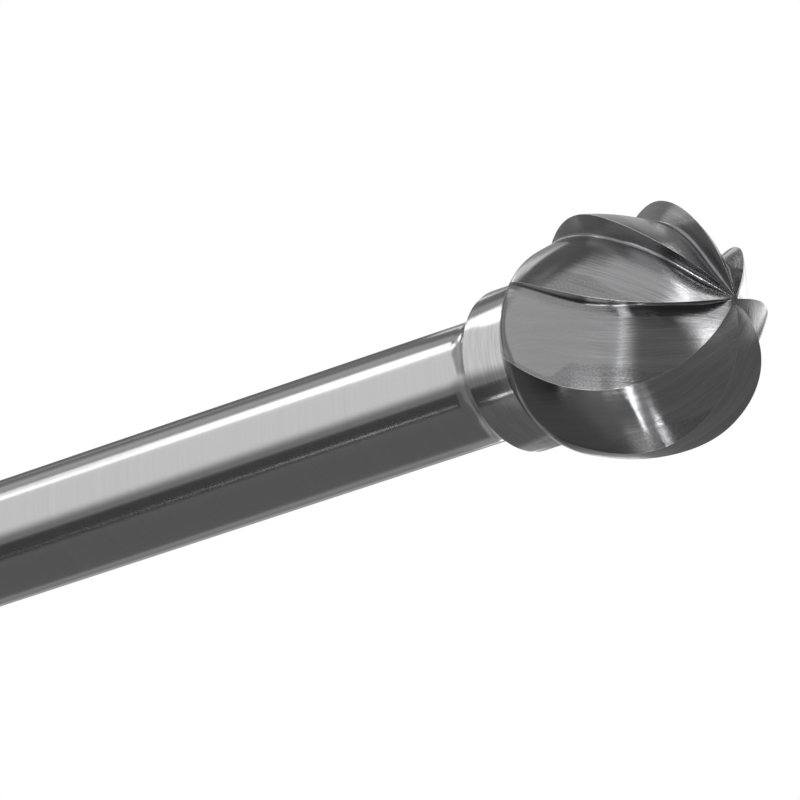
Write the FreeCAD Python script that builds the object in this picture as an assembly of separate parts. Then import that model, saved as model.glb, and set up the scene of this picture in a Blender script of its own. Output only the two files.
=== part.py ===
import FreeCAD, Part
import math
import os

from FreeCAD import Vector

# Ball burr of carbide on a steel shank, in millimetres.
# The axis is Z. The shank's free end lies on z = 0 and the ball's tip points up.

# Shank, one piece of steel with its collar
SHANK_DIAMETER = 6.0
SHANK_LENGTH = 45.0
SHANK_END_CHAMFER = 0.3
COLLAR_DIAMETER = 8.0
COLLAR_LENGTH = 2.5
COVE_RADIUS = 2.4

# Brazed joint between the collar and the head
BRAZE_THICKNESS = 0.1
BRAZE_FLARE = 0.8

# Carbide head, a ball with a flat back, its back half a little flatter than a true ball
BALL_DIAMETER = 12.7
BACK_FLATTENING = 0.17
# How far the flat back stands out past the collar
BACK_STEP = 0.2143

# Flutes, each ground along a cutting edge that winds back from the tip
FLUTE_COUNT = 8
FLUTE_DEPTH = 1.05
FLUTE_DEPTH_AT_SIDE = 1.1
FLUTE_ROOT_WIDTH = 0.22
BACK_CROWN = 0.044
EDGE_LONGITUDE = 35.0
EDGE_TWIST = 21.8
EDGE_TWIST_POWER = 1.96

# How far the root lies beyond the cutting edge: under it near the tip, past it at the side
ROOT_RUN_AT_TIP = -0.35
ROOT_RUN_AT_SIDE = 0.1
# Where a flute starts its root lies this share of the flute's width beyond the edge
ROOT_SHARE_AT_START = 0.15

# Places along the ball, as angles from its tip, with the bare stretch between flutes and flat back
# and the stretch before it in which a flute's back takes up the roundness of the ball
FLUTE_STARTS = 1.5
FULL_DEPTH_NEARS = 15.0
ROOT_RUN_TURNS = 33.0
ROOT_RUN_ENDS = 80.0
FLATTENING_STARTS = 72.0
RUN_OUT_STARTS = 75.0
BARE_BACK = 13.4
CROWN_BLEND = 15.0

# Sections that shape a flute, closer together towards the tip
SECTION_COUNT = 18
SECTION_SPREAD = 1.2

BALL_RADIUS = BALL_DIAMETER / 2
BACK_RADIUS = COLLAR_DIAMETER / 2 + BACK_STEP
HEAD_BACK = SHANK_LENGTH + BRAZE_THICKNESS
BALL_CENTRE = HEAD_BACK + math.sqrt(BALL_RADIUS ** 2 - BACK_RADIUS ** 2)
BALL_ENDS = 180.0 - math.degrees(math.asin(BACK_RADIUS / BALL_RADIUS))
RUN_OUT_ENDS = BALL_ENDS - BARE_BACK
FLUTE_STEP = 360.0 / FLUTE_COUNT


def ball_point(longitude, polar, radius):
    """Point at a longitude round the axis, an angle from the tip and a radius from the ball's centre."""
    lon = math.radians(longitude)
    pol = math.radians(polar)
    return Vector(math.sin(pol) * math.sin(lon), -math.sin(pol) * math.cos(lon), math.cos(pol)) * radius


def ramp(value, start, end):
    """Smooth rise from 0 at start to 1 at end."""
    t = max(0.0, min(1.0, (value - start) / (end - start)))
    return t * t * (3 - 2 * t)


def side_radius(polar):
    """Radius of the ball at an angle from its tip, less its flattening behind the widest place."""
    t = max(0.0, (polar - FLATTENING_STARTS) / (BALL_ENDS - FLATTENING_STARTS))
    return BALL_RADIUS - BACK_FLATTENING * math.sin(math.pi * t) ** 2


def growth(polar):
    """Rise from 0 where the flutes start to nearly 1 where they are fully formed."""
    return math.tanh((polar - FLUTE_STARTS) / FULL_DEPTH_NEARS)


def flute_depth(polar):
    """Depth of the root below the ball's surface."""
    t = max(0.0, min(1.0, (polar - RUN_OUT_STARTS) / (RUN_OUT_ENDS - RUN_OUT_STARTS)))
    depth = FLUTE_DEPTH + (FLUTE_DEPTH_AT_SIDE - FLUTE_DEPTH) * ramp(polar, ROOT_RUN_TURNS, ROOT_RUN_ENDS)
    return depth * growth(polar) * (1 - t * t)


def root_run(polar):
    """How far round the ball the root lies from the cutting edge."""
    turn = ramp(polar, ROOT_RUN_TURNS, ROOT_RUN_ENDS)
    run = ROOT_RUN_AT_TIP + (ROOT_RUN_AT_SIDE - ROOT_RUN_AT_TIP) * turn
    tip_width = BALL_RADIUS * math.sin(math.radians(polar)) * math.radians(FLUTE_STEP)
    return run * growth(polar) + ROOT_SHARE_AT_START * tip_width * (1 - growth(polar))


def flute_section(polar):
    """Five points across a flute: edge, rake's end, back's start, back's control point, next edge."""
    edge_longitude = EDGE_LONGITUDE - EDGE_TWIST * (polar / 90.0) ** EDGE_TWIST_POWER
    circle = BALL_RADIUS * math.sin(math.radians(polar))
    edge = ball_point(edge_longitude, polar, side_radius(polar))
    next_edge = ball_point(edge_longitude + FLUTE_STEP, polar, side_radius(polar))
    root_longitude = edge_longitude + math.degrees(root_run(polar) / circle)
    root = ball_point(root_longitude, polar, side_radius(polar) - flute_depth(polar))

    rake = edge - root
    back = next_edge - root
    half = rake.getAngle(back) / 2
    reach = min(FLUTE_ROOT_WIDTH / 2 / math.sin(half), 0.35 * rake.Length, 0.3 * back.Length)
    rake_end = root + rake * (reach / rake.Length)
    back_start = root + back * (reach / back.Length)

    # The back bulges outward a little, and at the ball's end as much as the ball itself
    chord = next_edge - back_start
    roundness = ramp(polar, RUN_OUT_ENDS - CROWN_BLEND, BALL_ENDS)
    ball_crown = math.tan(math.radians(FLUTE_STEP) * chord.Length / (next_edge - edge).Length / 4) / 2
    crown = (BACK_CROWN + (ball_crown - BACK_CROWN) * roundness) * growth(polar)
    outward = (back_start + next_edge) / 2
    outward.z = outward.z * (1 - roundness)
    outward = outward - chord * (outward.dot(chord) / chord.dot(chord))
    outward.normalize()
    control = (back_start + next_edge) / 2 + outward * (2 * crown * chord.Length)
    return edge, rake_end, back_start, control, next_edge


def smooth_curve(points):
    """Smooth curve through a row of points, one to a section."""
    curve = Part.BSplineCurve()
    curve.interpolate(Points=points, Parameters=[float(i) for i in range(len(points))])
    return curve


def face_between(curves):
    """Face that runs along the curves: straight across two of them, an arc across three."""
    across = len(curves)
    surface = Part.BSplineSurface()
    surface.buildFromPolesMultsKnots([curve.getPoles() for curve in curves], [across, across],
                                     curves[0].getMultiplicities(), [0.0, 1.0], curves[0].getKnots(),
                                     False, False, across - 1, curves[0].Degree)
    return surface.toShape()


def arc_between(start, control, end):
    """The arc across a flute's back at one section."""
    arc = Part.BezierCurve()
    arc.setPoles([start, control, end])
    return arc.toShape()


def end_outline(section):
    """Closed outline of the head at one section, all the way round."""
    edge, rake_end, back_start, control, next_edge = section
    flute = Part.Wire([
        Part.LineSegment(edge, rake_end).toShape(),
        Part.LineSegment(rake_end, back_start).toShape(),
        arc_between(back_start, control, next_edge),
    ])
    edges = []
    for wire in round_the_axis(flute):
        edges += wire.Edges
    return Part.Wire(edges)


def round_the_axis(shape):
    """One copy of the shape for each flute."""
    copies = []
    for i in range(FLUTE_COUNT):
        turned = shape.copy()
        turned.rotate(Vector(0, 0, 0), Vector(0, 0, 1), i * FLUTE_STEP)
        copies.append(turned)
    return copies


def carbide_head():
    """The fluted ball with its flat back, closed from the faces of its flutes and its two flat ends."""
    sections = []
    for i in range(SECTION_COUNT):
        share = (i / (SECTION_COUNT - 1)) ** SECTION_SPREAD
        sections.append(flute_section(FLUTE_STARTS + (BALL_ENDS - FLUTE_STARTS) * share))
    edge, rake_end, back_start, control, next_edge = [smooth_curve(points) for points in zip(*sections)]
    faces = [Part.Face(end_outline(sections[0])), Part.Face(end_outline(sections[-1]))]
    for face in (face_between([edge, rake_end]), face_between([rake_end, back_start]),
                 face_between([back_start, control, next_edge])):
        faces += round_the_axis(face)
    shell = Part.makeShell(faces)
    shell.sewShape()
    head = Part.makeSolid(shell)
    head.translate(Vector(0, 0, BALL_CENTRE))
    return head


def turned_solid(edges):
    """Solid turned about the axis from the edges of its half section, which start and end on the axis."""
    outline = Part.Wire(edges + [Part.LineSegment(last_point(edges), first_point(edges)).toShape()])
    return Part.Face(outline).revolve(Vector(0, 0, 0), Vector(0, 0, 1), 360).Solids[0]


def first_point(edges):
    return edges[0].firstVertex().Point


def last_point(edges):
    return edges[-1].lastVertex().Point


def line(start, end):
    """Straight edge between two points of the half section, given as (radius, height)."""
    return Part.LineSegment(Vector(start[0], 0, start[1]), Vector(end[0], 0, end[1])).toShape()


def steel_shank():
    """Shank, cove and collar, turned and ground from one bar."""
    shank = SHANK_DIAMETER / 2
    collar = COLLAR_DIAMETER / 2
    collar_edge = SHANK_LENGTH - COLLAR_LENGTH
    # The cove leaves the shank as a tangent and meets the collar's edge at an angle
    cove_height = math.sqrt(COVE_RADIUS ** 2 - (COVE_RADIUS - (collar - shank)) ** 2)
    cove_start = (shank, collar_edge - cove_height)
    half = math.acos((COVE_RADIUS - (collar - shank)) / COVE_RADIUS) / 2
    cove_middle = Vector(shank + COVE_RADIUS * (1 - math.cos(half)), 0,
                         cove_start[1] + COVE_RADIUS * math.sin(half))
    cove = Part.Arc(Vector(cove_start[0], 0, cove_start[1]), cove_middle, Vector(collar, 0, collar_edge))
    return turned_solid([
        line((0, 0), (shank - SHANK_END_CHAMFER, 0)),
        line((shank - SHANK_END_CHAMFER, 0), (shank, SHANK_END_CHAMFER)),
        line((shank, SHANK_END_CHAMFER), cove_start),
        cove.toShape(),
        line((collar, collar_edge), (collar, SHANK_LENGTH)),
        line((collar, SHANK_LENGTH), (0, SHANK_LENGTH)),
    ])


def braze_joint():
    """Thin layer of filler that flares from the collar's edge to the head's back."""
    collar = COLLAR_DIAMETER / 2
    flare = collar + BACK_STEP * BRAZE_FLARE
    return turned_solid([
        line((0, SHANK_LENGTH), (collar, SHANK_LENGTH)),
        line((collar, SHANK_LENGTH), (flare, HEAD_BACK)),
        line((flare, HEAD_BACK), (0, HEAD_BACK)),
    ])


def main():
    os.makedirs("parts", exist_ok=True)
    for name, shape in (("steel_shank", steel_shank()), ("braze_joint", braze_joint()),
                        ("carbide_head", carbide_head())):
        shape.exportStep(os.path.join("parts", name + ".step"))
        print(name, "valid" if shape.isValid() else "not valid", round(shape.Volume, 2), "mm3",
              len(shape.Faces), "faces")


main()
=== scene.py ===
import math

import bpy
from bpy.props import FloatProperty, FloatVectorProperty, IntProperty, PointerProperty
from mathutils import Matrix, Vector


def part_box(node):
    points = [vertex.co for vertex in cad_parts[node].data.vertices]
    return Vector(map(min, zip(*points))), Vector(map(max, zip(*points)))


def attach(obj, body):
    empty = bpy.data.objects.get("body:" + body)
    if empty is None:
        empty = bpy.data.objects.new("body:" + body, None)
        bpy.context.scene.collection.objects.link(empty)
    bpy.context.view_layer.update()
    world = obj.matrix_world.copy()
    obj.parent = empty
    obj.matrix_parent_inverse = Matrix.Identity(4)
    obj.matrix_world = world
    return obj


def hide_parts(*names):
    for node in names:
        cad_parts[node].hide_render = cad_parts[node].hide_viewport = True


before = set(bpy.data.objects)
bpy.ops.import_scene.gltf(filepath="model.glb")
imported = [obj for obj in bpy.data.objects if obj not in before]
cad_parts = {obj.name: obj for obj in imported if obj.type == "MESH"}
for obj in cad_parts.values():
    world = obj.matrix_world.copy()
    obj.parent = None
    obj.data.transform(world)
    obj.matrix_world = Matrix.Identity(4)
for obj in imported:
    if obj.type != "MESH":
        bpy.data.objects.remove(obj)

bl_info = {
    "name": "Ball Burr",
    "version": (1, 0, 0),
    "blender": (4, 5, 0),
    "location": "3D View > Sidebar > Ball Burr",
    "description": "Builds a carbide ball burr on its steel shank, with materials, lights and a camera",
    "category": "Add Mesh",
}

# Places along the axis, taken from the frame, in metres
SHANK_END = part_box("steel_shank")[0].z
COLLAR_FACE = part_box("steel_shank")[1].z
HEAD_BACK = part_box("carbide_head")[0].z
HEAD_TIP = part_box("carbide_head")[1].z

MM = 0.001

# Steps across a flute: on its rake, round its root and over its back
RAKE_STEPS = 6
ROOT_STEPS = 10
BACK_STEPS = 26
ROOT_INDEX = RAKE_STEPS + ROOT_STEPS // 2
# How much closer together the rows of faces are at the tip than at the back
ROW_SPREAD = 1.15
# How much closer together the points are at a cutting edge than at the root, over the rake and the back
RAKE_SPREAD = 2
BACK_SPREAD = 1.5

# Largest shares of a rake and a back that the rounded root and the narrow edge face, whose brightness is a
# painted highlight, may take
ROOT_ON_RAKE = 0.4
ROOT_ON_BACK = 0.3
LINE_ON_RAKE = 0.2
LINE_ON_BACK = 0.1

# Step from flute to flute in the space of the grinding marks, so that no two flutes look the same
GRAIN_SHIFT = 7.0

# Where a flute starts its root lies this share of the flute's width beyond the edge
ROOT_SHARE_AT_START = 0.15
# The stretch before a flute's end in which its back takes up the roundness of the ball
CROWN_BLEND = math.radians(15.0)

# The land grows narrow between these angles from the tip, down to what is left of it at the back
LAND_NARROWS = math.radians(84.0)
LAND_NARROW = math.radians(100.0)
LAND_LOST = 0.8
# Coarseness of the band round a root beside that of the land, which also sets how much painted shade they
# get, and the width over which both fade out
ROOT_COARSENESS = 0.8
COARSE_FADE = 0.12 * MM

# Rings of faces along the shank and up its cove
SHANK_RINGS = 12
COVE_RINGS = 15
# Corners flatter than this stay unrounded, and a rounded one takes at most this share of each side
FLAT_CORNER = math.radians(150.0)
CORNER_SHARE = 0.4
# Faces that meet at a larger angle than this show a sharp edge between them
CREASE = math.radians(32.0)
# Smallest radius of a turned outline, which keeps the vertices on the axis apart
AXIS_RADIUS = 0.001 * MM


# Settings: sizes, colours and camera values that a user may change


class ShankSettings(bpy.types.PropertyGroup):
    """Sizes of the shank, its cove and its collar"""
    diameter: FloatProperty(name="Diameter", description="Diameter of the shank",
                            default=6.0 * MM, unit="LENGTH")
    collar_diameter: FloatProperty(name="Collar diameter", description="Diameter of the collar",
                                   default=8.0 * MM, unit="LENGTH")
    collar_length: FloatProperty(name="Collar length", description="Length of the collar's cylinder",
                                 default=2.5 * MM, unit="LENGTH")
    cove_radius: FloatProperty(name="Cove radius", description="Radius of the hollow below the collar",
                               default=2.4 * MM, unit="LENGTH")
    end_chamfer: FloatProperty(name="End chamfer", description="Chamfer of the free end", default=0.3 * MM,
                               unit="LENGTH")
    edge_break: FloatProperty(name="Edge break", description="Small rounding of the collar's edges",
                              default=0.05 * MM, unit="LENGTH")
    facets: IntProperty(name="Facets", description="Facets round the axis", default=256, min=16)
    colour: FloatVectorProperty(name="Steel", description="Colour of the steel", default=(0.55, 0.55, 0.55),
                                subtype="COLOR", min=0.0, max=1.0)
    roughness: FloatProperty(name="Roughness", description="Roughness of the ground steel", default=0.13,
                             min=0.0, max=1.0)


class HeadSettings(bpy.types.PropertyGroup):
    """Sizes of the fluted ball"""
    diameter: FloatProperty(name="Diameter", description="Diameter over the cutting edges", default=12.7 * MM,
                            unit="LENGTH")
    flattening: FloatProperty(name="Flattening", description="How much flatter than a ball the back half is",
                              default=0.17 * MM, unit="LENGTH")
    flat_starts: FloatProperty(name="Flattening starts", description="Angle from the tip",
                               default=math.radians(72.0), subtype="ANGLE")
    flutes: IntProperty(name="Flutes", description="Number of flutes", default=8, min=3)
    depth: FloatProperty(name="Flute depth", description="Depth of a flute's root below the ball",
                         default=1.05 * MM, unit="LENGTH")
    depth_at_back: FloatProperty(name="Depth at the back", description="Depth of a root before it runs out",
                                 default=1.1 * MM, unit="LENGTH")
    root_radius: FloatProperty(name="Root radius", description="Radius in the flute's root",
                               default=0.16 * MM, unit="LENGTH")
    crown: FloatProperty(name="Back crown", description="Bulge of a flute's back, as a share of its width",
                         default=0.044)
    edge_longitude: FloatProperty(name="Edge longitude", description="Where the first edge leaves the tip",
                                  default=math.radians(35.0), subtype="ANGLE")
    edge_twist: FloatProperty(name="Edge twist", description="Turn of an edge from the tip to the side",
                              default=math.radians(21.8), subtype="ANGLE")
    twist_power: FloatProperty(name="Twist power", description="How late the edges turn", default=1.96)
    run_at_tip: FloatProperty(name="Root run at the tip", description="How far the root lies past its edge",
                              default=-0.35 * MM, unit="LENGTH")
    run_at_back: FloatProperty(name="Root run at the back", description="How far the root lies past its edge",
                               default=0.1 * MM, unit="LENGTH")
    run_turns: FloatProperty(name="Run turns", description="Angle from the tip where the rake starts to lean",
                             default=math.radians(33.0), subtype="ANGLE")
    run_ends: FloatProperty(name="Run ends", description="Angle from the tip where the rake leans fully",
                            default=math.radians(80.0), subtype="ANGLE")
    starts: FloatProperty(name="Flutes start", description="Angle from the tip where the flutes start",
                          default=math.radians(1.5), subtype="ANGLE")
    deepens: FloatProperty(name="Deepening", description="Angle over which the flutes grow deep",
                           default=math.radians(15.0), subtype="ANGLE")
    run_out_starts: FloatProperty(name="Run-out starts", description="Angle from the tip",
                                  default=math.radians(75.0), subtype="ANGLE")
    run_out_ends: FloatProperty(name="Run-out ends", description="Angle from the tip",
                                default=math.radians(125.0), subtype="ANGLE")
    # The narrow face along each edge is painted lighter, as a highlight
    edge_break: FloatProperty(name="Edge break", description="Width of the fine bright line along an edge",
                              default=0.03 * MM, unit="LENGTH")
    # The land and the root zone are rougher, and their colour is also darkened as painted shade
    land_width: FloatProperty(name="Land width", description="Width of the coarser land beside an edge",
                              default=1.25 * MM, unit="LENGTH")
    land_starts: FloatProperty(name="Land starts", description="Angle from the tip",
                               default=math.radians(42.0), subtype="ANGLE")
    land_full: FloatProperty(name="Land full", description="Angle from the tip where the land is widest",
                             default=math.radians(74.0), subtype="ANGLE")
    root_zone: FloatProperty(name="Root zone", description="Width of the coarser band beside a root",
                             default=0.45 * MM, unit="LENGTH")
    rows: IntProperty(name="Rows", description="Rows of faces from tip to back", default=170, min=12)
    colour: FloatVectorProperty(name="Carbide", description="Colour of the carbide",
                                default=(0.285, 0.285, 0.29), subtype="COLOR", min=0.0, max=1.0)
    # Painted highlight: lighter colour of the narrow faces along the cutting edges
    edge_highlight_colour: FloatVectorProperty(name="Edge", description="Colour of the bright cutting edges",
                                     default=(0.5, 0.5, 0.5), subtype="COLOR", min=0.0, max=1.0)
    roughness: FloatProperty(name="Roughness", description="Roughness of the ground carbide", default=0.13,
                             min=0.0, max=1.0)


class JointSettings(bpy.types.PropertyGroup):
    """The brazed joint between collar and head"""
    radius: FloatProperty(name="Radius at the head", description="Radius where the filler meets the head",
                          default=4.17 * MM, unit="LENGTH")
    hollow: FloatProperty(name="Hollow", description="How far the filler lies back between the two",
                          default=0.03 * MM, unit="LENGTH")
    colour: FloatVectorProperty(name="Filler", description="Colour of the brazing filler",
                                default=(0.42, 0.40, 0.36), subtype="COLOR", min=0.0, max=1.0)
    roughness: FloatProperty(name="Roughness", description="Roughness of the brazing filler", default=0.42,
                             min=0.0, max=1.0)


class StageSettings(bpy.types.PropertyGroup):
    """Place of the camera, and its lens"""
    camera_distance: FloatProperty(name="Camera distance", description="From the camera to its aim",
                                   default=432.6 * MM, unit="LENGTH")
    camera_elevation: FloatProperty(name="Camera elevation", description="Height of the camera over its aim",
                                    default=math.radians(40.398), subtype="ANGLE")
    camera_azimuth: FloatProperty(name="Camera azimuth", description="Turn of the camera round its aim",
                                  default=math.radians(0.0825), subtype="ANGLE")
    camera_roll: FloatProperty(name="Camera roll", description="Turn of the picture about its centre",
                               default=math.radians(71.512), subtype="ANGLE")
    camera_aim: FloatVectorProperty(name="Camera aim", description="Point at the picture's centre",
                                    default=(-0.474 * MM, 0.0, 34.815 * MM), unit="LENGTH")
    lens: FloatProperty(name="Lens", description="Focal length on a 36 mm wide picture, in millimetres",
                        default=404.9)


# Curves and sections of the head


def ramp(value, start, end):
    """Smooth rise from 0 at start to 1 at end."""
    t = max(0.0, min(1.0, (value - start) / (end - start)))
    return t * t * (3 - 2 * t)


class FlutedBall:
    """The form of the head, from the ball's centre, for one flute at a time"""

    def __init__(self, settings):
        self.settings = settings
        self.radius = settings.diameter / 2
        self.step = 2 * math.pi / settings.flutes
        self.centre = HEAD_TIP - self.radius
        self.ends = math.acos((HEAD_BACK - self.centre) / self.radius)

    def ball_point(self, longitude, polar, radius):
        """Point at a longitude round the axis, an angle from the tip and a radius from the centre."""
        return Vector((math.sin(polar) * math.sin(longitude), -math.sin(polar) * math.cos(longitude),
                       math.cos(polar))) * radius

    def side(self, polar):
        """Radius of the ball, which is a little flatter behind its widest place."""
        starts = self.settings.flat_starts
        t = max(0.0, (polar - starts) / (self.ends - starts))
        return self.radius - self.settings.flattening * math.sin(math.pi * t) ** 2

    def growth(self, polar):
        """Rise from 0 where the flutes start to nearly 1 where they are fully formed."""
        return math.tanh((polar - self.settings.starts) / self.settings.deepens)

    def depth(self, polar):
        """Depth of the root below the ball's surface."""
        settings = self.settings
        run_out = settings.run_out_ends - settings.run_out_starts
        t = max(0.0, min(1.0, (polar - settings.run_out_starts) / run_out))
        turn = ramp(polar, settings.run_turns, settings.run_ends)
        depth = settings.depth + (settings.depth_at_back - settings.depth) * turn
        return depth * self.growth(polar) * (1 - t * t)

    def root_run(self, polar):
        """How far round the ball the root lies from the cutting edge."""
        settings = self.settings
        turn = ramp(polar, settings.run_turns, settings.run_ends)
        run = settings.run_at_tip + (settings.run_at_back - settings.run_at_tip) * turn
        width = self.radius * math.sin(polar) * self.step
        return run * self.growth(polar) + ROOT_SHARE_AT_START * width * (1 - self.growth(polar))

    def corners(self, polar):
        """Edge, root and next edge of a flute."""
        settings = self.settings
        twist = settings.edge_twist * (polar / (math.pi / 2)) ** settings.twist_power
        longitude = settings.edge_longitude - twist
        edge = self.ball_point(longitude, polar, self.side(polar))
        next_edge = self.ball_point(longitude + self.step, polar, self.side(polar))
        root_longitude = longitude + self.root_run(polar) / (self.radius * math.sin(polar))
        root = self.ball_point(root_longitude, polar, self.side(polar) - self.depth(polar))
        return edge, root, next_edge

    def section(self, polar):
        """Points across a flute, from just past its edge to just short of the next edge."""
        settings = self.settings
        edge, root, next_edge = self.corners(polar)
        rake = edge - root
        back = next_edge - root
        half = rake.angle(back) / 2
        reach = min(settings.root_radius / math.tan(half), ROOT_ON_RAKE * rake.length,
                    ROOT_ON_BACK * back.length)
        rake_end = root + rake * (reach / rake.length)
        back_start = root + back * (reach / back.length)
        chord = next_edge - back_start
        roundness = ramp(polar, settings.run_out_ends - CROWN_BLEND, self.ends)
        ball_crown = math.tan(self.step * chord.length / (next_edge - edge).length / 4) / 2
        crown = (settings.crown + (ball_crown - settings.crown) * roundness) * self.growth(polar)
        outward = (back_start + next_edge) / 2
        outward.z = outward.z * (1 - roundness)
        outward = (outward - chord * (outward.dot(chord) / chord.dot(chord))).normalized()
        control = (back_start + next_edge) / 2 + outward * (2 * crown * chord.length)

        line = settings.edge_break / 2
        trim = min(line, LINE_ON_RAKE * rake.length)
        rake_start = edge + (rake_end - edge) * (trim / (rake_end - edge).length)
        back_end = min(line / chord.length, LINE_ON_BACK)
        points = []
        for i in range(RAKE_STEPS):
            points.append(rake_start + (rake_end - rake_start) * (i / RAKE_STEPS) ** RAKE_SPREAD)
        # The root is an arc, as a rational curve with its middle weight
        bend = math.sin(half)
        for i in range(ROOT_STEPS):
            t = i / ROOT_STEPS
            weight = (1 - t) ** 2 + 2 * t * (1 - t) * bend + t * t
            arc = rake_end * (1 - t) ** 2 + root * (2 * t * (1 - t) * bend) + back_start * t * t
            points.append(arc / weight)
        for i in range(BACK_STEPS + 1):
            t = (1 - back_end) * (1 - (1 - i / BACK_STEPS) ** BACK_SPREAD)
            points.append(back_start * (1 - t) ** 2 + control * (2 * t * (1 - t)) + next_edge * t * t)
        return points


def mesh_object(name, verts, faces, grain, brush, masks):
    """Mesh object with smooth faces, creases at its corners and the attributes that its material reads."""
    mesh = bpy.data.meshes.new(name)
    mesh.from_pydata(verts, [], faces)
    for polygon in mesh.polygons:
        polygon.use_smooth = True
    mesh.set_sharp_from_angle(angle=CREASE)
    for label, vectors in (("grain", grain), ("brush", brush)):
        layer = mesh.attributes.new(label, "FLOAT_VECTOR", "POINT")
        layer.data.foreach_set("vector", [value for vector in vectors for value in vector])
    for label, values in masks.items():
        layer = mesh.attributes.new(label, "FLOAT", "POINT")
        layer.data.foreach_set("value", values)
    mesh.validate()
    mesh.update()
    obj = bpy.data.objects.new(name, mesh)
    bpy.context.collection.objects.link(obj)
    return obj


def coarse_and_shade_share(settings, polar, before, after):
    """How far a point lies in the coarser band round the root or on the land beside the next edge, given its
    distances from the root and from that edge. The material also darkens these places as painted shade."""
    land = settings.land_width * ramp(polar, settings.land_starts, settings.land_full)
    land *= 1 - LAND_LOST * ramp(polar, LAND_NARROWS, LAND_NARROW)
    on_land = ramp(land - after, -COARSE_FADE, COARSE_FADE) if land > COARSE_FADE else 0.0
    near_root = ramp(settings.root_zone - before, -2 * COARSE_FADE, 2 * COARSE_FADE)
    return max(on_land, ROOT_COARSENESS * near_root)


def fluted_head(settings):
    """The head as rows of sections from the tip to its flat back."""
    ball = FlutedBall(settings)
    rows = settings.rows
    verts, grain, brush, edge, coarse, faces = [], [], [], [], [], []
    sections = []
    for i in range(rows + 1):
        share = (i / rows) ** ROW_SPREAD
        polar = settings.starts + (ball.ends - settings.starts) * share
        sections.append((polar, ball.section(polar)))
    count = len(sections[0][1])
    lift = Vector((0, 0, ball.centre))
    for flute in range(settings.flutes):
        turn = Matrix.Rotation(flute * ball.step, 3, "Z")
        for row, (polar, points) in enumerate(sections):
            along = ball.radius * polar / MM
            across = [0.0]
            for before, point in zip(points, points[1:]):
                across.append(across[-1] + (point - before).length)
            ahead = sections[min(row + 1, rows)][1]
            behind = sections[max(row - 1, 0)][1]
            for k, point in enumerate(points):
                verts.append(turn @ point + lift)
                grain.append((along, across[k] / MM, flute * GRAIN_SHIFT))
                brush.append(turn @ (ahead[k] - behind[k]).normalized())
                # Mask of the edge faces, which the material paints lighter as a highlight
                edge.append(1.0 if k in (0, count - 1) else 0.0)
                coarse.append(coarse_and_shade_share(settings, polar, abs(across[k] - across[ROOT_INDEX]),
                                           across[-1] - across[k]))
    ring = (rows + 1) * count
    for flute in range(settings.flutes):
        following = ((flute + 1) % settings.flutes) * ring
        for row in range(rows):
            low = flute * ring + row * count
            high = low + count
            for k in range(count - 1):
                faces.append((low + k, high + k, high + k + 1, low + k + 1))
            # The narrow face along the cutting edge, painted lighter as a highlight, joins this flute to the
            # following one
            beyond = following + row * count
            faces.append((low + count - 1, high + count - 1, beyond + count, beyond))
    tip = []
    base = []
    for flute in range(settings.flutes):
        tip += [flute * ring + k for k in range(count)]
        base += [flute * ring + rows * count + k for k in range(count)]
    faces.append(tuple(tip))
    faces.append(tuple(reversed(base)))
    return mesh_object("burr_head", verts, faces, grain, brush, {"edge": edge, "coarse": coarse})


def rounded(corners, radius, steps=4):
    """Outline of (radius, height) corners with each inner corner rounded, except the nearly flat ones."""
    outline = [corners[0]]
    for before, corner, after in zip(corners, corners[1:], corners[2:]):
        there, here, beyond = Vector(before), Vector(corner), Vector(after)
        first = there - here
        last = beyond - here
        if first.angle(last) > FLAT_CORNER:
            outline.append(corner)
            continue
        reach = min(radius, first.length * CORNER_SHARE, last.length * CORNER_SHARE)
        start = here + first.normalized() * reach
        end = here + last.normalized() * reach
        for i in range(steps + 1):
            t = i / steps
            outline.append(tuple(start * (1 - t) ** 2 + here * (2 * t * (1 - t)) + end * t * t))
    outline.append(corners[-1])
    return outline


def turned(name, outline, facets):
    """Mesh object turned about the axis from an outline of (radius, height) that starts and ends on it."""
    verts, grain, brush, faces = [], [], [], []
    along = 0.0
    before = outline[0]
    for radius, height in outline:
        along += math.hypot(radius - before[0], height - before[1]) / MM
        before = (radius, height)
        reach = max(radius, AXIS_RADIUS)
        for i in range(facets):
            angle = 2 * math.pi * i / facets
            spot = Vector((reach * math.cos(angle), reach * math.sin(angle), height))
            verts.append(spot)
            grain.append((spot.x / MM, spot.y / MM, along))
            brush.append((-math.sin(angle), math.cos(angle), 0.0))
    for row in range(len(outline) - 1):
        for i in range(facets):
            j = (i + 1) % facets
            faces.append((row * facets + i, row * facets + j, (row + 1) * facets + j, (row + 1) * facets + i))
    last = (len(outline) - 1) * facets
    faces.append(tuple(range(facets - 1, -1, -1)))
    faces.append(tuple(range(last, last + facets)))
    return mesh_object(name, verts, faces, grain, brush, {})


def shank_outline(settings):
    """Half section of the shank from its free end to the collar's face."""
    shank = settings.diameter / 2
    collar = settings.collar_diameter / 2
    edge = COLLAR_FACE - settings.collar_length
    sweep = math.acos((settings.cove_radius - (collar - shank)) / settings.cove_radius)
    start = edge - settings.cove_radius * math.sin(sweep)
    chamfer = settings.end_chamfer
    corners = rounded([(0.0, SHANK_END), (shank - chamfer, SHANK_END), (shank, SHANK_END + chamfer),
                       (shank, start)], settings.edge_break)
    # Rings along the shank keep its long faces well shaped
    for i in range(1, SHANK_RINGS):
        height = SHANK_END + chamfer * 2 + (start - SHANK_END) * i / (SHANK_RINGS + 1)
        corners.insert(len(corners) - 1, (shank, height))
    for i in range(1, COVE_RINGS):
        angle = sweep * i / COVE_RINGS
        corners.append((shank + settings.cove_radius * (1 - math.cos(angle)),
                        start + settings.cove_radius * math.sin(angle)))
    cove_end = corners[-1]
    top = rounded([cove_end, (collar, edge), (collar, COLLAR_FACE), (0.0, COLLAR_FACE)], settings.edge_break)
    return corners + top[1:]


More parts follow.
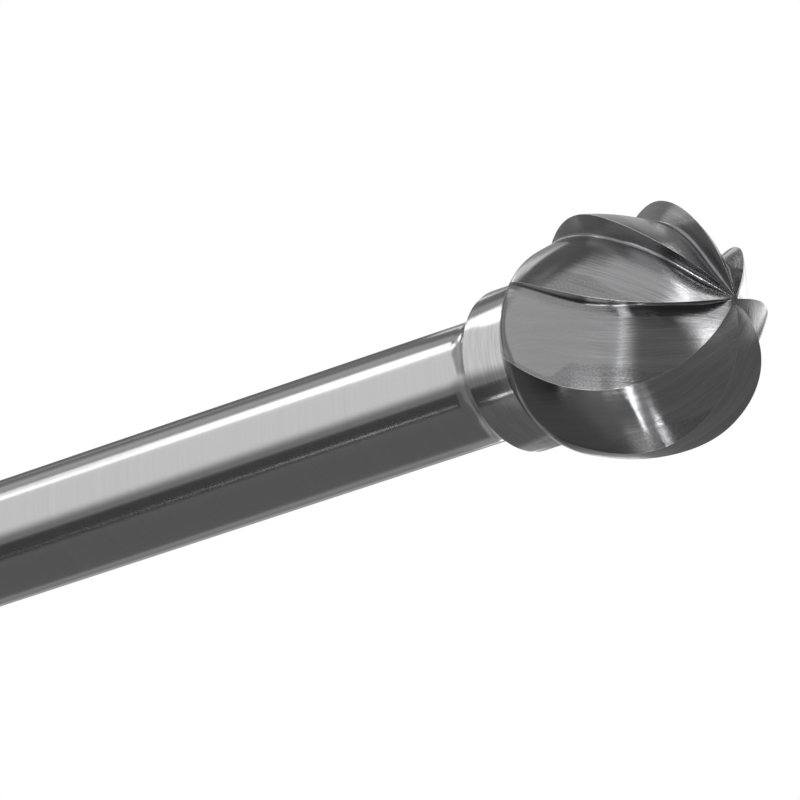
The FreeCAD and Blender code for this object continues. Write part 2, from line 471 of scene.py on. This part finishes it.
# Panels round the object, seen from the burr with the camera at turn 0 and rise 0: name, brightness, limits
# of turn and rise in degrees, sideways lean over the height, climb over the width, and softness of the rims.
# Where two overlap, the later one lies nearer and covers the earlier.
PANELS = (
    ("soft_left", 0.94, (-140, -28), (-30, 34), 0, 0, (0.1, 0.1)),
    ("flag_below", 0.24, (-180, 180), (-90, 0), 0, 0, (0.001, 0.33)),
    ("flag_below_left", 0.15, (-178, -80), (-76, -26), 0, 0, (0.08, 0.16)),
    ("flag_low_left", 0.14, (-118, -88), (-38, -16), 0, 0, (0.3, 0.5)),
    ("flag_low_side", 0.05, (-96, -60), (-43, -18), 0, 0, (0.3, 0.35)),
    ("flag_camera", 0.29, (-20, 28), (-12, 62), 8, 0, (0.35, 0.15)),
    ("flag_camera_top", 0.06, (-8, 29), (38, 66), 10, 4, (0.4, 0.5)),
    ("flag_right", 0.25, (36, 172), (-12, 56), 6, 0, (0.08, 0.15)),
    ("flag_back_left", 0.19, (-186, -136), (22.5, 72), -14, 0, (0.12, 0.06)),
    ("flag_back_left_low", 0.2, (-162, -134), (4, 32), 0, 0, (0.06, 0.2)),
    ("flag_back_edge", 0.35, (-188, -168.5), (0, 32), 0, 0, (0.15, 0.3)),
    ("flag_back_cove", 0.42, (-156, -114), (-6, 26), 0, 0, (0.3, 0.3)),
    ("flag_back_right", 0.3, (146, 186), (44, 76), 0, 0, (0.3, 0.3)),
    ("flag_right_low", 0.28, (18, 44), (-14, 12), 0, 0, (0.2, 0.3)),
    ("flag_back_middle", 0.6, (158, 184), (2, 42), 0, 0, (0.5, 0.3)),
    ("glow_between", 0.5, (-16, 1), (-80, -38), 0, 0, (0.3, 0.2)),
    ("glow_low", 1.05, (-70, -14), (-82, -66), 0, -4, (0.5, 0.5)),
    ("glow_back_low", 0.5, (-178, -136), (-26, -6), 0, 0, (0.4, 0.5)),
    ("glow_back_under", 0.4, (-190, -142), (-45, -14), 0, 0, (0.5, 0.8)),
    ("glow_back_left", 0.45, (-154, -131), (28, 44), 0, 0, (0.9, 0.5)),
    ("strip_back_low", 2.0, (176, 189), (-21, -14), 0, 0, (0.3, 0.5)),
    ("strip_left", 3.6, (-24.2, -22.9), (-8, 44), 7, 0, (0.5, 0.15)),
    ("strip_front", 8.0, (-30, -14), (-42, -8), 8, 0, (0.5, 0.3)),
    ("strip_low_left", 7.0, (-24, -17), (-68, -42), 7, 0, (0.6, 0.2)),
    ("strip_low_right", 9.0, (3, 16), (-73, -63), 0, -6, (0.6, 0.5)),
    ("strip_low_middle", 2.2, (-3, -1.8), (-60, -42), 0, 0, (0.5, 0.2)),
    ("strip_collar", 2.4, (-82.5, -70), (-38, -36), 0, 0, (0.4, 0.5)),
    ("glow_front_left", 2.3, (-68, -36), (-43, 2), 0, 0, (0.4, 0.3)),
    ("strip_front_left", 7.0, (-52, -34), (-43, -28), 0, 0, (0.4, 0.3)),
    ("strip_right", 10.5, (29.6, 32.4), (22, 50), 8, 0, (0.5, 0.25)),
    ("strip_right_low", 1.6, (56, 94), (-27, -22), 0, 0, (0.2, 0.5)),
    ("strip_right_behind", 2.0, (127, 168), (-10, -5), 0, 19, (0.06, 0.5)),
    ("strip_arc", 5.0, (44, 120), (63, 68), 0, -2, (0.1, 0.6)),
    ("strip_arc_end", 5.0, (118, 152), (50, 55), 0, -20, (0.1, 0.6)),
    ("strip_shank", 3.3, (-133, -102), (32, 42), 0, 0, (0.5, 0.5)),
    ("strip_cove", 2.0, (-170, -117), (16.2, 23.2), 0, 24.3, (0.1, 0.5)),
)

# Shades close behind the shank, which only its own rims see: name, brightness, limits of their turn about
# the axis in degrees from +X, and softness of the rims
SHADES = (
    ("shade_over", 0.17, (100, 138), (0.3, 0.06)),
    ("glow_over", 0.5, (147, 174), (0.9, 0.06)),
    ("shade_under", 0.25, (26, 62), (0.8, 0.06)),
    ("shade_rim", 0.41, (44, 100), (0.35, 0.06)),
)

# Distance of the first panel and the first shade, and how much nearer each following one lies
PANEL_DISTANCE = 2.0
PANEL_SPACING = 0.03
SHADE_DISTANCE = 20 * MM
SHADE_SPACING = 1 * MM
# How far the shades reach past the shank's free end, and how far short of the collar's face
SHADE_PAST_END = 10 * MM
SHADE_SHORT_OF_COLLAR = 4.7 * MM
# Steps across a panel or shade, each way
SHEET_STEPS = 24

# Brightness of the white surroundings where something other than the camera and the reflections sees them
AMBIENT = 0.7


# Operators, one for each piece and one for the stage


class BuildShank(bpy.types.Operator):
    """Turn the shank with its cove and collar"""
    bl_idname = "ball_burr.build_shank"
    bl_label = "Shank"

    def execute(self, context):
        settings = context.scene.ball_burr_shank
        shank = turned("burr_shank", shank_outline(settings), settings.facets)
        shank.data.materials.append(steel_material(settings))
        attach(shank, "root")
        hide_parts("steel_shank")
        return {"FINISHED"}


class BuildJoint(bpy.types.Operator):
    """Lay the brazed joint between collar and head"""
    bl_idname = "ball_burr.build_joint"
    bl_label = "Brazed joint"

    def execute(self, context):
        settings = context.scene.ball_burr_joint
        collar = context.scene.ball_burr_shank.collar_diameter / 2
        middle = (COLLAR_FACE + HEAD_BACK) / 2
        joint = turned("braze_line", [(0.0, COLLAR_FACE), (collar, COLLAR_FACE),
                                      ((collar + settings.radius) / 2 - settings.hollow, middle),
                                      (settings.radius, HEAD_BACK), (0.0, HEAD_BACK)],
                       context.scene.ball_burr_shank.facets)
        joint.data.materials.append(filler_material(settings))
        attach(joint, "root")
        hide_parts("braze_joint")
        return {"FINISHED"}


class BuildHead(bpy.types.Operator):
    """Grind the fluted ball"""
    bl_idname = "ball_burr.build_head"
    bl_label = "Fluted head"

    def execute(self, context):
        settings = context.scene.ball_burr_head
        head = fluted_head(settings)
        head.data.materials.append(carbide_material(settings))
        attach(head, "root")
        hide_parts("carbide_head")
        return {"FINISHED"}


# Materials and the node groups that they share


class NodeTree:
    """Short way to add and join nodes in a material, a world or a node group"""

    def __init__(self, tree):
        self.tree = tree

    def add(self, kind, **values):
        node = self.tree.nodes.new(kind)
        for name, value in values.items():
            setattr(node, name, value)
        return node

    def join(self, start, end):
        self.tree.links.new(start, end)

    def math(self, operation, first, second=None, third=None):
        node = self.add("ShaderNodeMath", operation=operation)
        for socket, value in zip(node.inputs, (first, second, third)):
            self.feed(socket, value)
        return node.outputs[0]

    def feed(self, socket, value):
        if isinstance(value, bpy.types.NodeSocket):
            self.join(value, socket)
        elif value is not None:
            socket.default_value = value

    def group(self, name, **inputs):
        node = self.add("ShaderNodeGroup", node_tree=bpy.data.node_groups[name])
        for key, value in inputs.items():
            self.feed(node.inputs[key.replace("_", " ")], value)
        return node


def new_group(name, inputs, outputs):
    """Empty node group with named sockets. Each is (name, kind) or (name, kind, default)."""
    tree = bpy.data.node_groups.new(name, "ShaderNodeTree")
    for label, kind, *default in inputs:
        socket = tree.interface.new_socket(label, in_out="INPUT", socket_type="NodeSocket" + kind)
        if default:
            socket.default_value = default[0]
    for label, kind in outputs:
        tree.interface.new_socket(label, in_out="OUTPUT", socket_type="NodeSocket" + kind)
    nodes = NodeTree(tree)
    return nodes, nodes.add("NodeGroupInput"), nodes.add("NodeGroupOutput")


def grinding_marks_group():
    """Fine lines that run along the grinding direction, from a vector that is scaled up across it."""
    nodes, given, out = new_group("Grinding Marks", [
        ("Grain", "Vector"), ("Stretch", "Vector"), ("Contrast", "Float", 1.0), ("Detail", "Float", 5.0)],
        [("Value", "Float"), ("Height", "Float")])
    scaled = nodes.add("ShaderNodeVectorMath", operation="MULTIPLY")
    nodes.join(given.outputs["Grain"], scaled.inputs[0])
    nodes.join(given.outputs["Stretch"], scaled.inputs[1])
    noise = nodes.add("ShaderNodeTexNoise")
    noise.inputs["Scale"].default_value = 1.0
    noise.inputs["Roughness"].default_value = 0.65
    nodes.join(given.outputs["Detail"], noise.inputs["Detail"])
    nodes.join(scaled.outputs[0], noise.inputs["Vector"])
    centred = nodes.math("SUBTRACT", noise.outputs["Fac"], 0.5)
    nodes.join(nodes.math("MULTIPLY", centred, given.outputs["Contrast"]), out.inputs["Value"])
    nodes.join(noise.outputs["Fac"], out.inputs["Height"])


def soft_step_group():
    """0 below a place and 1 above it, with a soft change of the given width."""
    nodes, given, out = new_group("Soft Step", [
        ("Value", "Float"), ("Place", "Float", 0.5), ("Width", "Float", 0.1)], [("Mask", "Float")])
    half = nodes.math("MULTIPLY", given.outputs["Width"], 0.5)
    low = nodes.math("SUBTRACT", given.outputs["Place"], half)
    share = nodes.math("DIVIDE", nodes.math("SUBTRACT", given.outputs["Value"], low), given.outputs["Width"])
    step = nodes.add("ShaderNodeMapRange", interpolation_type="SMOOTHSTEP")
    nodes.join(share, step.inputs["Value"])
    nodes.join(step.outputs[0], out.inputs["Mask"])


def tint_group():
    """A colour made lighter or darker by a signed value."""
    nodes, given, out = new_group("Tint", [
        ("Color", "Color", (0.5, 0.5, 0.5, 1)), ("Value", "Float", 0.0)], [("Color", "Color")])
    scale = nodes.math("ADD", given.outputs["Value"], 1.0)
    tinted = nodes.add("ShaderNodeVectorMath", operation="SCALE")
    nodes.join(given.outputs["Color"], tinted.inputs[0])
    nodes.join(scale, tinted.inputs["Scale"])
    nodes.join(tinted.outputs[0], out.inputs["Color"])


def start_material(name):
    """A material with its Principled shader, in a tree that is ready to add to."""
    material = bpy.data.materials.new(name)
    material.use_nodes = True
    nodes = NodeTree(material.node_tree)
    shader = material.node_tree.nodes["Principled BSDF"]
    shader.inputs["Metallic"].default_value = 1.0
    return material, nodes, shader


def attribute(nodes, name, output):
    """Output of the mesh's named attribute."""
    node = nodes.add("ShaderNodeAttribute", attribute_name=name)
    return node.outputs[output]


def bump(nodes, height, distance, strength, normal=None):
    """Normal of a surface with the given height over its first normal."""
    node = nodes.add("ShaderNodeBump")
    node.inputs["Strength"].default_value = strength
    node.inputs["Distance"].default_value = distance
    nodes.join(height, node.inputs["Height"])
    nodes.feed(node.inputs["Normal"], normal)
    return node.outputs["Normal"]


# How strongly the effects show in the carbide: the share of the marks that is lost where the flutes run out,
# how far the rims of coarse places wander, the grit inside and outside them, and how much painted shade
# darkens them
MARKS_LOST = 0.65
COARSE_WANDER = 1.5
GRIT_INSIDE = 0.4
GRIT_OUTSIDE = 0.12
COARSE_PAINTED_SHADE = 0.2
# What the bands and the coarse places add to its roughness
BAND_ROUGHNESS = 0.15
COARSE_ROUGHNESS = 0.04
# Depths of its ground lines and its grit, and the share of the grit that is left outside coarse places
LINE_DEPTH = 0.012 * MM
GRIT_DEPTH = 0.0045 * MM
GRIT_LEFT = 0.05
# Turn of the stretched highlights, which puts them across the grinding direction
ACROSS_GRINDING = 0.25


def carbide_material(settings):
    """Dark grey carbide, ground along its flutes, coarser beside edges and roots, smoother behind them. The
    edge faces carry a painted highlight, and the coarse places painted shade.
    """
    material, nodes, shader = start_material("ground_carbide")
    grain = attribute(nodes, "grain", "Vector")
    lines = nodes.group("Grinding Marks", Grain=grain, Stretch=(0.4, 9.0, 1.0), Contrast=0.6, Detail=4.0)
    bands = nodes.group("Grinding Marks", Grain=grain, Stretch=(0.22, 2.6, 1.0), Contrast=0.5, Detail=3.0)
    grit = nodes.group("Grinding Marks", Grain=grain, Stretch=(10.0, 12.0, 1.0), Contrast=1.3, Detail=1.0)
    parts = nodes.add("ShaderNodeSeparateXYZ")
    nodes.join(grain, parts.inputs[0])
    flutes_end = settings.diameter / 2 / MM * settings.run_out_starts
    smooth = nodes.group("Soft Step", Value=parts.outputs["X"], Place=flutes_end, Width=0.7).outputs["Mask"]
    ground = nodes.math("SUBTRACT", 1.0, nodes.math("MULTIPLY", smooth, MARKS_LOST))
    coarse = attribute(nodes, "coarse", "Fac")
    wander = nodes.math("MULTIPLY_ADD", bands.outputs["Value"], COARSE_WANDER, coarse)
    coarse = nodes.group("Soft Step", Value=wander, Place=0.5, Width=0.8).outputs["Mask"]
    marks = nodes.math("MULTIPLY", nodes.math("ADD", lines.outputs["Value"], bands.outputs["Value"]), ground)
    specks = nodes.math("MULTIPLY_ADD", coarse, GRIT_INSIDE, GRIT_OUTSIDE)
    marks = nodes.math("MULTIPLY_ADD", grit.outputs["Value"], specks, marks)
    # Painted shade: the coarse land and root bands are darkened
    marks = nodes.math("MULTIPLY_ADD", coarse, -COARSE_PAINTED_SHADE, marks)
    colour = nodes.group("Tint", Color=(*settings.colour, 1.0), Value=marks)
    # Painted highlight: the edge faces take the lighter edge colour
    edge_highlight = nodes.add("ShaderNodeMix", data_type="RGBA")
    nodes.join(attribute(nodes, "edge", "Fac"), edge_highlight.inputs["Factor"])
    nodes.join(colour.outputs["Color"], edge_highlight.inputs["A"])
    edge_highlight.inputs["B"].default_value = (*settings.edge_highlight_colour, 1.0)
    nodes.join(edge_highlight.outputs["Result"], shader.inputs["Base Color"])
    roughness = nodes.math("MULTIPLY_ADD", bands.outputs["Value"], BAND_ROUGHNESS, settings.roughness)
    roughness = nodes.math("MULTIPLY_ADD", coarse, COARSE_ROUGHNESS, roughness)
    nodes.join(roughness, shader.inputs["Roughness"])
    shader.inputs["Anisotropic"].default_value = 0.85
    nodes.join(attribute(nodes, "brush", "Vector"), shader.inputs["Tangent"])
    shader.inputs["Anisotropic Rotation"].default_value = ACROSS_GRINDING
    height = nodes.math("MULTIPLY", lines.outputs["Height"], ground)
    scored = bump(nodes, height, LINE_DEPTH, strength=0.8)
    pitted = nodes.math("MULTIPLY_ADD", coarse, 1.0 - GRIT_LEFT, GRIT_LEFT)
    pitted = nodes.math("MULTIPLY", grit.outputs["Height"], pitted)
    nodes.join(bump(nodes, pitted, GRIT_DEPTH, strength=0.6, normal=scored), shader.inputs["Normal"])
    return material


# Depths of the fine rings round the shank and of the coarser ones round its collar, and of the filler's pits
RING_DEPTH = 0.002 * MM
COLLAR_RING_DEPTH = 0.0025 * MM
PIT_DEPTH = 0.01 * MM
# What the broad rings add to the steel's roughness, and the pits to the filler's
RING_ROUGHNESS = 0.2
PIT_ROUGHNESS = 0.2
# Width over which the shank's finish turns into the collar's
FINISH_CHANGE = 0.3 * MM


def steel_material(settings):
    """Bright steel with fine ground rings, coarser on the collar."""
    material, nodes, shader = start_material("ground_steel")
    grain = attribute(nodes, "grain", "Vector")
    fine = nodes.group("Grinding Marks", Grain=grain, Stretch=(0.12, 0.12, 26.0), Contrast=0.14, Detail=4.0)
    bands = nodes.group("Grinding Marks", Grain=grain, Stretch=(0.05, 0.05, 1.6), Contrast=0.1, Detail=3.0)
    coarse = nodes.group("Grinding Marks", Grain=grain, Stretch=(0.6, 0.6, 8.0), Contrast=0.6, Detail=5.0)
    place = nodes.add("ShaderNodeTexCoord")
    parts = nodes.add("ShaderNodeSeparateXYZ")
    nodes.join(place.outputs["Object"], parts.inputs[0])
    collar = nodes.group("Soft Step", Value=parts.outputs["Z"], Place=COLLAR_FACE - settings.collar_length,
                         Width=FINISH_CHANGE).outputs["Mask"]
    rings = nodes.math("ADD", fine.outputs["Value"], bands.outputs["Value"])
    marks = nodes.math("MULTIPLY_ADD", coarse.outputs["Value"], collar, rings)
    colour = nodes.group("Tint", Color=(*settings.colour, 1.0), Value=marks)
    nodes.join(colour.outputs["Color"], shader.inputs["Base Color"])
    roughness = nodes.math("MULTIPLY_ADD", bands.outputs["Value"], RING_ROUGHNESS, settings.roughness)
    nodes.join(roughness, shader.inputs["Roughness"])
    shader.inputs["Anisotropic"].default_value = 0.5
    nodes.join(attribute(nodes, "brush", "Vector"), shader.inputs["Tangent"])
    shader.inputs["Anisotropic Rotation"].default_value = ACROSS_GRINDING
    lines = bump(nodes, fine.outputs["Height"], RING_DEPTH, strength=0.4)
    deep = nodes.math("MULTIPLY", coarse.outputs["Height"], collar)
    nodes.join(bump(nodes, deep, COLLAR_RING_DEPTH, strength=0.6, normal=lines), shader.inputs["Normal"])
    return material


def filler_material(settings):
    """Thin dull line of brazing filler with small pits."""
    material, nodes, shader = start_material("braze_filler")
    grain = attribute(nodes, "grain", "Vector")
    pits = nodes.group("Grinding Marks", Grain=grain, Stretch=(3.0, 3.0, 6.0), Contrast=1.2, Detail=4.0)
    colour = nodes.group("Tint", Color=(*settings.colour, 1.0), Value=pits.outputs["Value"])
    nodes.join(colour.outputs["Color"], shader.inputs["Base Color"])
    roughness = nodes.math("MULTIPLY_ADD", pits.outputs["Value"], PIT_ROUGHNESS, settings.roughness)
    nodes.join(roughness, shader.inputs["Roughness"])
    nodes.join(bump(nodes, pits.outputs["Height"], PIT_DEPTH, strength=0.6), shader.inputs["Normal"])
    return material


# Stage: camera, surroundings and the sheets that only reflections see


class SetStage(bpy.types.Operator):
    """Place the camera, the lights and the white surroundings"""
    bl_idname = "ball_burr.set_stage"
    bl_label = "Camera and lights"

    def execute(self, context):
        settings = context.scene.ball_burr_stage
        camera = place_camera(settings)
        white_world(context.scene)
        studio(camera)
        shank_shades(settings.camera_elevation)
        context.scene.view_settings.view_transform = "Standard"
        return {"FINISHED"}


def white_world(scene):
    """White surroundings for the camera and for reflections, and soft light for the rest."""
    world = bpy.data.worlds.new("studio")
    world.use_nodes = True
    nodes = NodeTree(world.node_tree)
    background = world.node_tree.nodes["Background"]
    background.inputs["Color"].default_value = (1, 1, 1, 1)
    path = nodes.add("ShaderNodeLightPath")
    seen = nodes.math("MAXIMUM", path.outputs["Is Camera Ray"], path.outputs["Is Glossy Ray"])
    seen = nodes.math("MAXIMUM", seen, path.outputs["Is Transmission Ray"])
    strength = nodes.math("MULTIPLY_ADD", seen, 1.0 - AMBIENT, AMBIENT)
    nodes.join(strength, background.inputs["Strength"])
    scene.world = world


def studio(camera):
    """Dark flags and bright strips round the object, which only its reflections see."""
    for order, (name, level, turn, rise, lean, climb, soft) in enumerate(PANELS):
        distance = PANEL_DISTANCE - PANEL_SPACING * order
        panel(camera, name, level, turn, rise, lean, climb, soft, distance)


def panel(camera, name, level, turn, rise, lean, climb, soft, distance):
    """Curved panel round the burr. Turn and rise are its limits in degrees from the camera's side."""
    centre = Vector((0, 0, (HEAD_BACK + HEAD_TIP) / 2))
    axes = camera.matrix_world.to_3x3()

    def spot(u, v):
        up = math.radians(rise[0] + (rise[1] - rise[0]) * v + climb * (u - 0.5))
        round_ = math.radians(turn[0] + (turn[1] - turn[0]) * u + lean * (v - 0.5))
        way = Vector((math.cos(up) * math.sin(round_), math.sin(up), math.cos(up) * math.cos(round_)))
        return centre + axes @ way * distance

    sheet(name, level, soft, spot)


def shank_shades(elevation):
    """Shades close behind the shank, as far below it as its reflections fall on their way there."""
    for order, (name, level, turn, soft) in enumerate(SHADES):
        distance = SHADE_DISTANCE - SHADE_SPACING * order
        fall = distance * math.tan(elevation)
        low = SHANK_END - SHADE_PAST_END - fall
        high = COLLAR_FACE - SHADE_SHORT_OF_COLLAR - fall

        def spot(u, v):
            angle = math.radians(turn[0] + (turn[1] - turn[0]) * u)
            return Vector((math.cos(angle) * distance, math.sin(angle) * distance, low + (high - low) * v))

        sheet(name, level, soft, spot)


def sheet(name, level, soft, spot):
    """Sheet that only reflections see, through the points that spot gives for shares of width and height."""
    steps = SHEET_STEPS
    verts, faces, card = [], [], []
    for i in range(steps + 1):
        for j in range(steps + 1):
            u, v = i / steps, j / steps
            verts.append(spot(u, v))
            card.append((u * 2 - 1, v * 2 - 1, 0.0))
    for i in range(steps):
        for j in range(steps):
            k = i * (steps + 1) + j
            faces.append((k, k + steps + 1, k + steps + 2, k + 1))
    mesh = bpy.data.meshes.new(name)
    mesh.from_pydata(verts, [], faces)
    layer = mesh.attributes.new("card", "FLOAT_VECTOR", "POINT")
    layer.data.foreach_set("vector", [value for vector in card for value in vector])
    obj = bpy.data.objects.new(name, mesh)
    bpy.context.collection.objects.link(obj)
    for ray in ("camera", "diffuse", "shadow", "transmission", "volume_scatter"):
        setattr(obj, "visible_" + ray, False)
    mesh.materials.append(panel_material(name, level, soft))


def panel_material(name, level, soft):
    """Even glow that fades out towards the panel's rim."""
    material = bpy.data.materials.new(name)
    material.use_nodes = True
    nodes = NodeTree(material.node_tree)
    material.node_tree.nodes.remove(material.node_tree.nodes["Principled BSDF"])
    parts = nodes.add("ShaderNodeSeparateXYZ")
    nodes.join(attribute(nodes, "card", "Vector"), parts.inputs[0])
    masks = []
    for axis, width in zip("XY", soft):
        away = nodes.math("SUBTRACT", 1.0, nodes.math("ABSOLUTE", parts.outputs[axis]))
        masks.append(nodes.group("Soft Step", Value=away, Place=width / 2, Width=width).outputs["Mask"])
    clear = nodes.add("ShaderNodeBsdfTransparent")
    glow = nodes.add("ShaderNodeEmission")
    glow.inputs["Strength"].default_value = level
    mix = nodes.add("ShaderNodeMixShader")
    nodes.join(nodes.math("MULTIPLY", *masks), mix.inputs[0])
    nodes.join(clear.outputs[0], mix.inputs[1])
    nodes.join(glow.outputs[0], mix.inputs[2])
    nodes.join(mix.outputs[0], material.node_tree.nodes["Material Output"].inputs["Surface"])
    return material


def place_camera(settings):
    """Camera on a sphere round its aim, turned about its own axis by the roll."""
    aim = Vector(settings.camera_aim)
    elevation, azimuth = settings.camera_elevation, settings.camera_azimuth
    back = Vector((math.cos(elevation) * math.sin(azimuth), -math.cos(elevation) * math.cos(azimuth),
                   math.sin(elevation)))
    camera = bpy.data.objects.new("camera", bpy.data.cameras.new("camera"))
    bpy.context.collection.objects.link(camera)
    turn = back.to_track_quat("Z", "Y").to_matrix() @ Matrix.Rotation(settings.camera_roll, 3, "Z")
    camera.matrix_world = Matrix.Translation(aim + back * settings.camera_distance) @ turn.to_4x4()
    camera.data.lens = settings.lens
    camera.data.sensor_width = 36.0
    camera.data.clip_start = 0.01
    camera.data.clip_end = 10.0
    bpy.context.scene.camera = camera
    return camera


class BurrPanel(bpy.types.Panel):
    """Lists the steps that build the burr"""
    bl_idname = "VIEW3D_PT_ball_burr"
    bl_label = "Ball Burr"
    bl_space_type = "VIEW_3D"
    bl_region_type = "UI"
    bl_category = "Ball Burr"

    def draw(self, context):
        for operator in STEPS:
            self.layout.operator(operator.bl_idname)


SETTINGS = (
    (ShankSettings, "ball_burr_shank"),
    (JointSettings, "ball_burr_joint"),
    (HeadSettings, "ball_burr_head"),
    (StageSettings, "ball_burr_stage"),
)
STEPS = (BuildShank, BuildJoint, BuildHead, SetStage)


def shared_groups():
    """Node groups that the materials share."""
    grinding_marks_group()
    soft_step_group()
    tint_group()


def register():
    for group, name in SETTINGS:
        bpy.utils.register_class(group)
        setattr(bpy.types.Scene, name, PointerProperty(type=group))
    for operator in STEPS:
        bpy.utils.register_class(operator)
    bpy.utils.register_class(BurrPanel)


def unregister():
    bpy.utils.unregister_class(BurrPanel)
    for operator in reversed(STEPS):
        bpy.utils.unregister_class(operator)
    for group, name in reversed(SETTINGS):
        delattr(bpy.types.Scene, name)
        bpy.utils.unregister_class(group)


def main():
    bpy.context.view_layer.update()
    register()
    shared_groups()
    bpy.ops.ball_burr.build_shank()
    bpy.ops.ball_burr.build_joint()
    bpy.ops.ball_burr.build_head()
    bpy.ops.ball_burr.set_stage()


if __name__ == "__main__":
    main()
